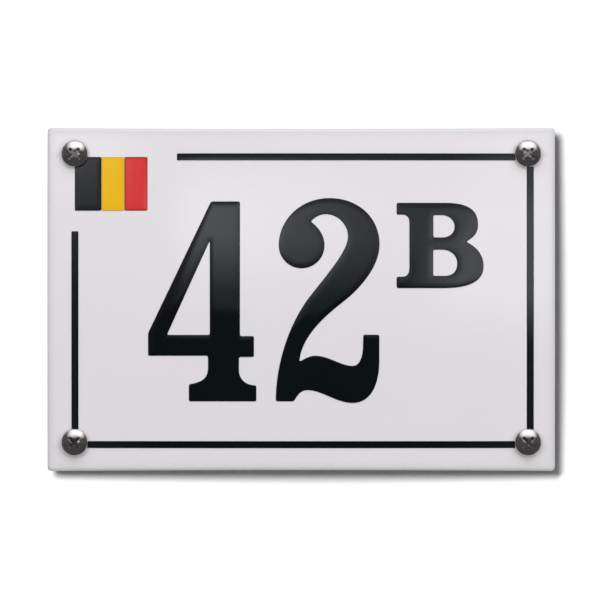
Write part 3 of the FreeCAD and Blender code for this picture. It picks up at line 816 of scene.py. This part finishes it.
# %% Border and flag
LINE_WINDOW, HOLE_MARGIN = 0.6, 0.3
FLAG_HEIGHT, FIELD_GAP, FLOW = 15.9, 0.15, 0.05
BLACK_WIDTH, YELLOW_WIDTH, RED_WIDTH = 7.75, 6.7, 6.65
FLAG_TO_TOP_LINE, FLAG_TO_LEFT_LINE = 8.7, 6.0
FLAG_BOTTOM = BORDER_TOP - FLAG_HEIGHT
YELLOW_LEFT = BORDER_LEFT + BLACK_WIDTH + FIELD_GAP
RED_LEFT = YELLOW_LEFT + YELLOW_WIDTH + FIELD_GAP
TOP_START = RED_LEFT + RED_WIDTH + FLAG_TO_TOP_LINE
HALF_LINE = LINE_WIDTH / 2
INNER_X, INNER_Z = HOLE_X - HOLE_RADIUS - HOLE_MARGIN, HOLE_Z - HOLE_RADIUS - HOLE_MARGIN


def cleared_of_holes(loop):
    """A loop pushed out of the margins of the screw holes, so that its cut follows them."""
    loop = loop.copy()
    reach = HOLE_RADIUS + HOLE_MARGIN
    for centre in HOLE_CENTRES:
        gap = loop - np.array(centre)
        away = np.linalg.norm(gap, axis=1)
        near = away < reach
        loop[near] = centre + gap[near] / away[near][:, None] * reach
    return evenly(loop, OUTLINE_SPACING)


borders = {
    "border_top": (TOP_START, BORDER_TOP - HALF_LINE, INNER_X - TOP_START, LINE_WIDTH),
    "border_right": (BORDER_RIGHT - HALF_LINE, -INNER_Z, LINE_WIDTH, 2 * INNER_Z),
    "border_bottom": (-INNER_X, BORDER_BOTTOM - HALF_LINE, 2 * INNER_X, LINE_WIDTH),
    "border_left": (BORDER_LEFT - HALF_LINE, -INNER_Z, LINE_WIDTH, FLAG_BOTTOM - FLAG_TO_LEFT_LINE + INNER_Z),
}
for node, run in borders.items():
    loops = stencil([box_path(*run)], OUTLINE_SPACING, LINE_WINDOW)
    coat(node + "_coat", node, loops, BLACK, spacing=0.6, crown_width=1.0, crown_height=0.01)

fields = {
    "flag_black": (BORDER_LEFT, BLACK_WIDTH, BLACK, "black_enamel"),
    "flag_yellow": (YELLOW_LEFT, YELLOW_WIDTH, YELLOW, "yellow_enamel"),
    "flag_red": (RED_LEFT, RED_WIDTH, RED, "red_enamel"),
}
for node, (left, width, finish, slot) in fields.items():
    field = box_path(left - FLOW, FLAG_BOTTOM, width + 2 * FLOW, FLAG_HEIGHT)
    loops = [cleared_of_holes(loop) for loop in stencil([field], OUTLINE_SPACING, LINE_WINDOW)]
    coat(node + "_coat", node, loops, finish)
print("border lines and flag fields:", len(borders) + len(fields))

# %% [markdown]
# ## Screws
# Four pan head screws, all alike. The plaque hangs on them, so they sit high in their holes. The
# head is a low dome with a pressed cross recess. Its top is again a surface over a plan, so the
# fill used for the enamel also makes it, with the recess as sloping walls down to a floor. Below
# it a turned profile gives the side, neck, core and point. A Geometry Nodes tree then winds the
# thread round the core, turns the screw, and sets it in its hole.

# %% Screw sizes
HEAD_RADIUS, HEAD_HEIGHT, HEAD_SIDE = 4.0, 3.05, 1.2
CROWN_RADIUS, SHOULDER_START = 5.87, 3.8
CROWN_DEPTH = math.sqrt(CROWN_RADIUS ** 2 - SHOULDER_START ** 2)
RECESS_SPAN, RECESS_WIDTH, RECESS_DEPTH = 4.4, 0.95, 1.9
FLOOR_SPAN, FLOOR_WIDTH = RECESS_SPAN - 1.5, RECESS_WIDTH - 0.3
LIP_WIDTH, LIP_DROP = 0.05, 0.04
NECK_RADIUS, CORE_RADIUS, THREAD_RADIUS = 1.5, 1.4, 2.0
NECK_LENGTH, SCREW_LENGTH, TIP_LENGTH = 2.5, 30.0, 4.0
HEAD_POINTS, SHOULDER_STEPS = 96, 9
SCREW_LIFT, SEAT_PLAY = 0.45, 0.02
HEAD_REACH = math.hypot(HOLE_X, HOLE_Z - SCREW_LIFT) - HEAD_RADIUS
SEAT_Y = DOME_CENTRE - math.sqrt((FRONT_RADIUS + RELIEF) ** 2 - HEAD_REACH ** 2) - SEAT_PLAY
print("head seats at y =", round(SEAT_Y, 3), "mm")


# %% Head, neck and core
def head_height(radius):
    """Height of the head over its seat: a crown that rolls over into the side."""
    top = HEAD_HEIGHT - (CROWN_RADIUS - np.sqrt(CROWN_RADIUS ** 2 - np.minimum(radius, SHOULDER_START) ** 2))
    edge = HEAD_HEIGHT - (CROWN_RADIUS - CROWN_DEPTH)
    slope, width = SHOULDER_START / CROWN_DEPTH, HEAD_RADIUS - SHOULDER_START
    part = np.clip((radius - SHOULDER_START) / width, 0.0, 1.0)
    roll = (edge - HEAD_SIDE - slope * width) * (1.0 - np.sqrt(1.0 - part ** 2))
    return np.where(radius > SHOULDER_START, edge - slope * (part * width) - roll, top)


def cross_path(span, width):
    """Steps of a cross recess seen from above."""
    a, w = span / 2, width / 2
    return [("start", w, w), *(("line", x, z) for x, z in (
        (w, a), (-w, a), (-w, w), (-a, w), (-a, -w), (-w, -w), (-w, -a), (w, -a), (w, -w), (a, -w), (a, w)))]


def band(above, below):
    """Quads between two rings of points, given by their numbers."""
    return [(above[i - 1], below[i - 1], below[i], above[i]) for i in (*range(1, len(above)), 0)]


def screw_mesh():
    """Turned screw without its thread, axis along Z, seat of the head at the origin."""
    rim = ring_of(0.0, 0.0, HEAD_RADIUS, HEAD_POINTS)
    mouth = stencil([cross_path(RECESS_SPAN, RECESS_WIDTH)], 0.12, 0.25)[0]
    floor = stencil([cross_path(FLOOR_SPAN, FLOOR_WIDTH)], 0.12, 0.2)[0]
    lip = rows_inside([rim, mouth[::-1]], [LIP_WIDTH])[0]
    lip = lip[np.linalg.norm(lip, axis=1) < SHOULDER_START]
    insets = ellipse_insets(HEAD_RADIUS - SHOULDER_START, SHOULDER_STEPS)
    rounds = np.vstack([ring_of(0.0, 0.0, HEAD_RADIUS - inset, HEAD_POINTS) for inset in insets])
    crown_edge = ring_of(0.0, 0.0, SHOULDER_START, HEAD_POINTS)
    crown_grid = grid_inside([crown_edge, mouth[::-1]], 0.2, 0.14)
    outer, outer_faces = fill([rim, mouth[::-1]], [rounds, lip, crown_grid])
    height = head_height(np.linalg.norm(outer, axis=1))
    height[:HEAD_POINTS] = HEAD_SIDE
    height[HEAD_POINTS:HEAD_POINTS + len(mouth)] -= LIP_DROP
    inner, inner_faces = fill([mouth[::-1]], [floor, grid_inside([floor], 0.3, 0.1)])
    inner = inner[len(mouth):]
    floor_height = np.full(len(inner), HEAD_HEIGHT - RECESS_DEPTH)
    places = [np.column_stack([outer, height]), np.column_stack([inner, floor_height])]
    shift = len(outer) - len(mouth)
    faces = [tuple(face) for face in outer_faces]
    faces += [tuple(HEAD_POINTS + c if c < len(mouth) else shift + c for c in face) for face in inner_faces]
    below = [(HEAD_RADIUS, 0.12), (HEAD_RADIUS - 0.12, 0.0), (NECK_RADIUS, 0.0),
             (NECK_RADIUS, 0.2 - NECK_LENGTH), (CORE_RADIUS, -NECK_LENGTH),
             (CORE_RADIUS, TIP_LENGTH - SCREW_LENGTH), (0.12, 0.1 - SCREW_LENGTH)]
    above, first = list(range(HEAD_POINTS)), len(outer) + len(inner)
    for radius, level in below:
        ring = ring_of(0.0, 0.0, radius, HEAD_POINTS)
        places.append(np.column_stack([ring, np.full(HEAD_POINTS, level)]))
        here = list(range(first, first + HEAD_POINTS))
        faces += band(above, here)
        above, first = here, first + HEAD_POINTS
    places.append(np.array([[0.0, 0.0, -SCREW_LENGTH]]))
    faces += [(above[i], first, above[(i + 1) % HEAD_POINTS]) for i in range(HEAD_POINTS)]
    mesh = bpy.data.meshes.new("turned_screw")
    mesh.from_pydata(np.vstack(places) * MM, [], faces)
    # recess floor points are marked for a darker tone: painted shade in the recess, with a little dirt
    shade_and_dirt = np.zeros(len(mesh.vertices))
    shade_and_dirt[len(outer):len(outer) + len(inner)] = 1.0
    mesh.attributes.new("recess_shade_and_dirt", "FLOAT", "POINT").data.foreach_set("value", shade_and_dirt)
    mesh.update()
    return mesh


print("height of the head at its middle:", float(head_height(np.zeros(1))[0]), "mm")

# %% [markdown]
# The ridge of the thread is a grid, four points across and many along, so one node makes it. Its
# rows are laid on the helix by their index: the two outer rows sink into the core and the two
# between them stand out at the crest. A grid keeps the profile upright, where a swept curve would
# twist it.

# %% Thread laid from a grid
THREAD_TURNS, POINTS_A_TURN, POINTS_ACROSS = 15, 28, 4
CREST_GAIN, THREAD_PITCH_SHARE = 1.5, 0.62
RUN_IN_PART, RUN_IN_START, TIP_SHARE = 0.03, 0.05, 0.08
ROOT_SINK = 0.05 * MM


def thread_tree():
    """Geometry Nodes tree that threads a turned screw, turns it and sets it in its place."""
    tree, given, made = new_tree(
        "threaded screw", "GeometryNodeTree",
        [("Turned Screw", "Geometry"), ("Turn", "Float"), ("Place", "Vector"), ("Core Radius", "Float"),
         ("Thread Radius", "Float"), ("Thread Start", "Float"), ("Tip Start", "Float"),
         ("Tip End", "Float"), ("Steel", "Material")],
        [("Piece", "Geometry")])
    body, turn, place, core, thread, start, tip_start, tip_end, steel = given.outputs[:9]
    ridge = add_node(tree, "GeometryNodeMeshGrid")
    for label, value in (("Size X", 1.0), ("Size Y", 2.0), ("Vertices X", POINTS_A_TURN * THREAD_TURNS),
                         ("Vertices Y", POINTS_ACROSS)):
        ridge.inputs[label].default_value = value
    along, across, _ = axes_of(tree, add_node(tree, "GeometryNodeInputPosition").outputs[0])
    part = maths(tree, "ADD", along, 0.5)
    inward = maths(tree, "SUBTRACT", 1.0, maths(tree, "ABSOLUTE", across))
    crest = maths(tree, "MULTIPLY", inward, CREST_GAIN)
    level = map_range(tree, part, 0.0, 1.0, start, tip_end)
    angle = maths(tree, "MULTIPLY", part, THREAD_TURNS * 2 * math.pi)
    taper = map_range(tree, level, tip_start, tip_end, 1.0, TIP_SHARE)
    run_in = map_range(tree, part, 0.0, RUN_IN_PART, RUN_IN_START, 1.0)
    fullness = maths(tree, "MULTIPLY", taper, run_in)
    tall = maths(tree, "MULTIPLY", maths(tree, "SUBTRACT", thread, core), fullness)
    sunk = maths(tree, "SUBTRACT", maths(tree, "MULTIPLY", core, taper), ROOT_SINK)
    reach = maths(tree, "ADD", sunk, maths(tree, "MULTIPLY", tall, crest))
    shift = maths(tree, "ADD", level, maths(tree, "MULTIPLY", tall, across, THREAD_PITCH_SHARE))
    helix = vector_of(tree, maths(tree, "MULTIPLY", reach, maths(tree, "COSINE", angle)),
                      maths(tree, "MULTIPLY", reach, maths(tree, "SINE", angle)), shift)
    laid = geometry_step(tree, "GeometryNodeSetPosition", ridge.outputs[0], Position=helix)
    joined = add_node(tree, "GeometryNodeJoinGeometry")
    for half in (laid, body):
        feed(tree, joined.inputs[0], half)
    last = geometry_step(tree, "GeometryNodeGeometryToInstance", joined.outputs[0])
    last = geometry_step(tree, "GeometryNodeTransform", last, Rotation=vector_of(tree, 0.0, 0.0, turn))
    last = geometry_step(tree, "GeometryNodeTransform", last, Translation=place,
                         Rotation=vector_of(tree, math.pi / 2, 0.0, 0.0))
    last = geometry_step(tree, "GeometryNodeRealizeInstances", last)
    feed(tree, made.inputs[0], geometry_step(tree, "GeometryNodeSetMaterial", last, Material=steel))
    return tree


THREADED = thread_tree()
print("thread tree has", len(THREADED.nodes), "nodes")

# %% [markdown]
# ## Steel
# The heads are polished steel that has dulled a little outdoors. Metal has almost no colour of
# its own, so the look comes from what it mirrors, from its roughness, from small dark flecks of
# grime, and from a darker recess floor, which is painted shade in the hollow with a little dirt.

# %% Screw steel and the four screws
GRIME_SHARE, RECESS_SHADE_SHARE = 0.5, 0.45
RECESS_TURN = math.radians(45.0)
SMOOTH_BELOW = math.radians(32)
THREAD_START, TIP_END = NECK_LENGTH + 0.6, 0.3 - SCREW_LENGTH


def steel():
    """Screw steel, a little cloudy, with flecks of grime and a recess floor darkened by painted shade and a
    little dirt.
    """
    material, tree, shader = new_material("screw steel", Metallic=1.0)
    body = mixed(tree, cloudiness(tree, 700.0, 0.0, 1.0), (0.615, 0.585, 0.58), (0.685, 0.655, 0.65))
    grime = add_group(tree, KILN_FLECKS, Scale=1500.0, Size=0.12, Amount=0.2)
    body = mixed(tree, maths(tree, "MULTIPLY", grime, GRIME_SHARE), body, (0.2, 0.18, 0.16))
    # darker recess floor: painted shade in the recess, with a little dirt
    shade_and_dirt = add_node(tree, "ShaderNodeAttribute", attribute_name="recess_shade_and_dirt").outputs["Fac"]
    body = mixed(tree, maths(tree, "MULTIPLY", shade_and_dirt, RECESS_SHADE_SHARE), body, (0.10, 0.08, 0.07))
    feed(tree, shader.inputs["Base Color"], body)
    feed(tree, shader.inputs["Roughness"], cloudiness(tree, 1200.0, 0.12, 0.22))
    rippled(tree, shader, 0.6, 4e-6, Ripple_Scale=900.0, Peel_Scale=4000.0)
    return material


STEEL = steel()
SCREWS = {"screw_top_left": (-1, 1), "screw_top_right": (1, 1),
          "screw_bottom_left": (-1, -1), "screw_bottom_right": (1, -1)}
for node, (right, up) in SCREWS.items():
    screw = grow(node + "_turned", screw_mesh(), THREADED, {
        "Turn": RECESS_TURN, "Place": (right * HOLE_X * MM, SEAT_Y * MM, (up * HOLE_Z + SCREW_LIFT) * MM),
        "Core Radius": CORE_RADIUS * MM, "Thread Radius": THREAD_RADIUS * MM,
        "Thread Start": -THREAD_START * MM, "Tip Start": (TIP_LENGTH - SCREW_LENGTH) * MM,
        "Tip End": TIP_END * MM, "Steel": STEEL,
    })
    screw.data.polygons.foreach_set("use_smooth", [True] * len(screw.data.polygons))
    screw.data.set_sharp_from_angle(angle=SMOOTH_BELOW)
    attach(screw, "root")
    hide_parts(node)
print("screws:", len(SCREWS), "with", len(screw.data.polygons), "faces each")

# %% [markdown]
# ## Studio
# The plaque hangs on a white wall over a pale floor. The wall stands a little behind the plate,
# because its shadow is as broad at the corners as between them in the photograph. It shows from
# its front only, so that the back of the plaque can be looked at. White backgrounds come from the
# surfaces and the world as seen by the camera, and not from more light on the object.

# %% Wall, floor and world
WALL_Y, FLOOR_Z = 2.0 * MM, -0.45
WALL_SEEN, WALL_LIT = 1.27, 0.8
FLOOR_SEEN, FLOOR_LIT = 9.0, 0.2
WORLD_LIGHT = 0.135


def stage_piece(name, places, faces, material):
    """A piece of the studio, which isn't part of the plaque."""
    mesh = bpy.data.meshes.new(name)
    mesh.from_pydata(places, [], faces)
    mesh.materials.append(material)
    piece = bpy.data.objects.new(name, mesh)
    scene.collection.objects.link(piece)
    return piece


def stage_plane(name, corners, material):
    """A flat piece of the studio between four corners."""
    return stage_piece(name, corners, [(0, 1, 2, 3)], material)


def plain_material(name):
    """A material without its Principled shader, and its tree."""
    material = bpy.data.materials.new(name)
    material.use_nodes = True
    material.node_tree.nodes.remove(material.node_tree.nodes["Principled BSDF"])
    return material, material.node_tree


def shows_to(tree, *rays):
    """1 for the kinds of ray named, 0 for the others."""
    path = add_node(tree, "ShaderNodeLightPath")
    return maths(tree, "MAXIMUM", 0.0, *(path.outputs[ray] for ray in rays))


def paint(name, seen, lit, one_sided):
    """Matt paint, whiter to the camera than to the light that bounces off it."""
    material, tree = plain_material(name)
    coat_of_paint = add_node(tree, "ShaderNodeBsdfDiffuse")
    shade = mixed(tree, shows_to(tree, "Is Camera Ray"), (lit, lit, lit), (seen, seen, seen))
    feed(tree, coat_of_paint.inputs["Color"], shade)
    last = coat_of_paint.outputs[0]
    if one_sided:
        clear = add_node(tree, "ShaderNodeBsdfTransparent")
        chosen = add_node(tree, "ShaderNodeMixShader")
        back_seen = add_node(tree, "ShaderNodeNewGeometry").outputs["Backfacing"]
        for socket, value in zip(chosen.inputs, (back_seen, last, clear.outputs[0])):
            feed(tree, socket, value)
        last = chosen.outputs[0]
    feed(tree, tree.nodes["Material Output"].inputs["Surface"], last)
    return material


wall = stage_plane("wall", [(-3, WALL_Y, FLOOR_Z), (3, WALL_Y, FLOOR_Z), (3, WALL_Y, 3), (-3, WALL_Y, 3)],
                   paint("wall paint", WALL_SEEN, WALL_LIT, one_sided=True))
floor = stage_plane("floor", [(-4, -4, FLOOR_Z), (4, -4, FLOOR_Z), (4, 4, FLOOR_Z), (-4, 4, FLOOR_Z)],
                    paint("floor paint", FLOOR_SEEN, FLOOR_LIT, one_sided=False))
world = bpy.data.worlds.new("studio air")
scene.world = world
world.use_nodes = True
air = world.node_tree
background = air.nodes["Background"]
background.inputs["Color"].default_value = (1.0, 1.0, 1.0, 1.0)
seen_white = shows_to(air, "Is Camera Ray", "Is Glossy Ray", "Is Transmission Ray")
feed(air, background.inputs["Strength"], map_range(air, seen_white, 0.0, 1.0, WORLD_LIGHT, 1.0))
print("wall stands", round(WALL_Y / MM, 1), "mm behind the plane of the plate's corners")

# %% [markdown]
# ## Light
# A broad key from the upper front and a low fill light the plaque. A long lamp rakes the wall
# alone, so that the plaque's shadow falls soft to the lower right, as it does in the photograph,
# and a small lamp shows the back to a camera behind it. Light linking says which lamp lights
# what. What the enamel mirrors is set with cards, seen only in reflections: a card behind the
# camera with soft windows, a slanted card overhead that lights the screws, a dark cloth on the
# floor, and a dark tent round them all.

# %% Lamps
def linked(name, pieces):
    """Collection that says which pieces a lamp includes or leaves out."""
    group = bpy.data.collections.new(name)
    for piece, state in pieces:
        group.objects.link(piece)
        group.collection_objects[-1].light_linking.link_state = state
    return group


def lamp(name, place, size, energy, along=(1.0, 0.0, 0.0), receivers=None, blockers=None):
    """Area lamp that faces the plaque, its long side along a direction."""
    data = bpy.data.lights.new(name, "AREA")
    data.shape = "RECTANGLE"
    data.size, data.size_y = size
    data.energy = energy
    piece = bpy.data.objects.new(name, data)
    piece.location = place
    back = Vector(place).normalized()
    side = (Vector(along) - back * back.dot(Vector(along))).normalized()
    piece.rotation_euler = Matrix((side, back.cross(side), back)).transposed().to_euler()
    piece.visible_glossy = False
    piece.visible_camera = False
    scene.collection.objects.link(piece)
    if receivers:
        piece.light_linking.receiver_collection = linked(name + " lights", receivers)
    if blockers:
        piece.light_linking.blocker_collection = linked(name + " shadows", blockers)


lamp("key", (0.08, -0.75, 0.47), (1.5, 1.2), 8.33, receivers=[(wall, "EXCLUDE")])
lamp("fill", (0.0, -1.0, -0.1), (1.5, 1.3), 6.25, receivers=[(wall, "EXCLUDE")])
lamp("wall rake", (-2.25, -3.0, 2.0), (3.1, 0.9), 200.0, along=(1.0, 0.0, 1.0), receivers=[(wall, "INCLUDE")])
lamp("back", (0.2, 1.1, 0.4), (0.5, 0.5), 16.0, receivers=[(wall, "EXCLUDE"), (floor, "EXCLUDE")],
     blockers=[(wall, "EXCLUDE")])

# %% Cards seen only in reflections
CARD_Y, CARD_FACTOR, CARD_GLOW = -1.5, 3.96, 1.427
CARD_TINT = (0.965, 1.0, 1.07)
CLOTH_Z, CLOTH_GLOW = -0.44, 0.07
TENT_RADIUS, TENT_RINGS, TENT_AROUND = 2.8, 12, 32
TENT_TILT = math.radians(86.0)


def glow_material(name, strength, tint=(1.0, 1.0, 1.0)):
    """Glow whose strength is a number or comes from a function of the tree."""
    material, tree = plain_material(name)
    glow = add_node(tree, "ShaderNodeEmission")
    glow.inputs["Color"].default_value = (*tint, 1.0)
    feed(tree, glow.inputs["Strength"], strength(tree) if callable(strength) else strength)
    feed(tree, tree.nodes["Material Output"].inputs["Surface"], glow.outputs[0])
    material.cycles.emission_sampling = "NONE"
    return material


def main_card_glow(tree):
    """Soft windows side by side, read in the millimetres of the plaque that mirror them."""
    def ramp(value, *limits):
        return map_range(tree, value, *limits)

    x, _, z = axes_of(tree, object_place(tree))
    x, z = (maths(tree, "DIVIDE", value, CARD_FACTOR * MM) for value in (x, z))
    level = maths(tree, "ADD", z, maths(tree, "MULTIPLY", x, 0.05))
    slanted = maths(tree, "SUBTRACT", x, maths(tree, "MULTIPLY", z, 0.35))
    rising = maths(tree, "ADD", ramp(level, -4.3, -3.2, 0.0, 0.18), ramp(level, 1.2, 18.8, 0.0, 0.82))
    windows = {
        "left": (rising, ramp(x, -41.0, -31.0, 0.17, 1.0), ramp(x, -25.0, 24.0, 1.0, 0.37),
                 ramp(x, 38.0, 58.0, 1.0, 0.0), ramp(z, 29.0, 42.0, 1.0, 0.06)),
        "right": (ramp(level, -9.4, 5.4, 0.0, 0.74), ramp(slanted, 30.0, 46.0, 0.0, 1.0),
                  ramp(z, 27.0, 42.0, 1.0, 0.2)),
        "top": (ramp(z, 34.0, 42.0, 0.0, 1.0), ramp(x, -30.0, 20.0, 0.09, 0.19)),
        "corner": (ramp(x, -58.0, -40.0, 1.0, 0.0), ramp(z, 25.0, 42.0, 0.0, 0.46)),
        "ends": (ramp(maths(tree, "ABSOLUTE", x), 45.0, 66.0, 0.0, 0.07), 1.0),
    }
    lit = maths(tree, "ADD", *(maths(tree, "MULTIPLY", *ramps) for ramps in windows.values()))
    return maths(tree, "MULTIPLY", lit, ramp(z, 50.0, 62.0, 1.0, 0.0), CARD_GLOW)


def overhead_glow(tree):
    """Full in the middle of the top, fading out towards the lower edge and the ends."""
    x, _, z = axes_of(tree, object_place(tree))
    return maths(tree, "MULTIPLY", map_range(tree, z, 0.46, 0.84, 0.0, 1.65),
                 map_range(tree, x, -1.3, -0.35, 0.0, 1.0), map_range(tree, x, 0.65, 1.7, 1.0, 0.0))


def tent_glow(tree):
    """Darkest behind the camera, a little lighter to the sides."""
    return map_range(tree, axes_of(tree, object_place(tree))[1], -2.75, -2.2, 0.03, 0.09)


def tent():
    """Dark dome in front of the plaque."""
    places = [(0.0, -TENT_RADIUS, 0.0)]
    for ring in range(1, TENT_RINGS + 1):
        tilt = TENT_TILT * ring / TENT_RINGS
        around = ring_of(0.0, 0.0, TENT_RADIUS * math.sin(tilt), TENT_AROUND)
        places += [(x, -TENT_RADIUS * math.cos(tilt), z) for x, z in around]
    rings = [range(first, first + TENT_AROUND) for first in range(1, len(places), TENT_AROUND)]
    faces = [(0, rings[0][i], rings[0][i - 1]) for i in range(TENT_AROUND)]
    for here, after in zip(rings, rings[1:]):
        faces += band(after, here)
    return stage_piece("tent", places, faces, glow_material("tent cloth", tent_glow))


card = stage_plane(
    "main_card", [(-0.7, CARD_Y, -0.3), (0.7, CARD_Y, -0.3), (0.7, CARD_Y, 0.5), (-0.7, CARD_Y, 0.5)],
    glow_material("main card glow", main_card_glow, CARD_TINT))
overhead = stage_plane(
    "screw_strip", [(-1.3, -1.2, 0.45), (1.7, -1.2, 0.45), (1.7, -0.25, 1.4), (-1.3, -0.25, 1.4)],
    glow_material("strip glow", overhead_glow))
cloth = stage_plane(
    "floor_cloth", [(-3, -3, CLOTH_Z), (3, -3, CLOTH_Z), (3, -0.02, CLOTH_Z), (-3, -0.02, CLOTH_Z)],
    glow_material("floor cloth glow", CLOTH_GLOW))
for piece in (card, overhead, cloth, tent()):
    for kind in ("camera", "diffuse", "transmission", "volume_scatter", "shadow"):
        setattr(piece, "visible_" + kind, False)
print("cards are up")
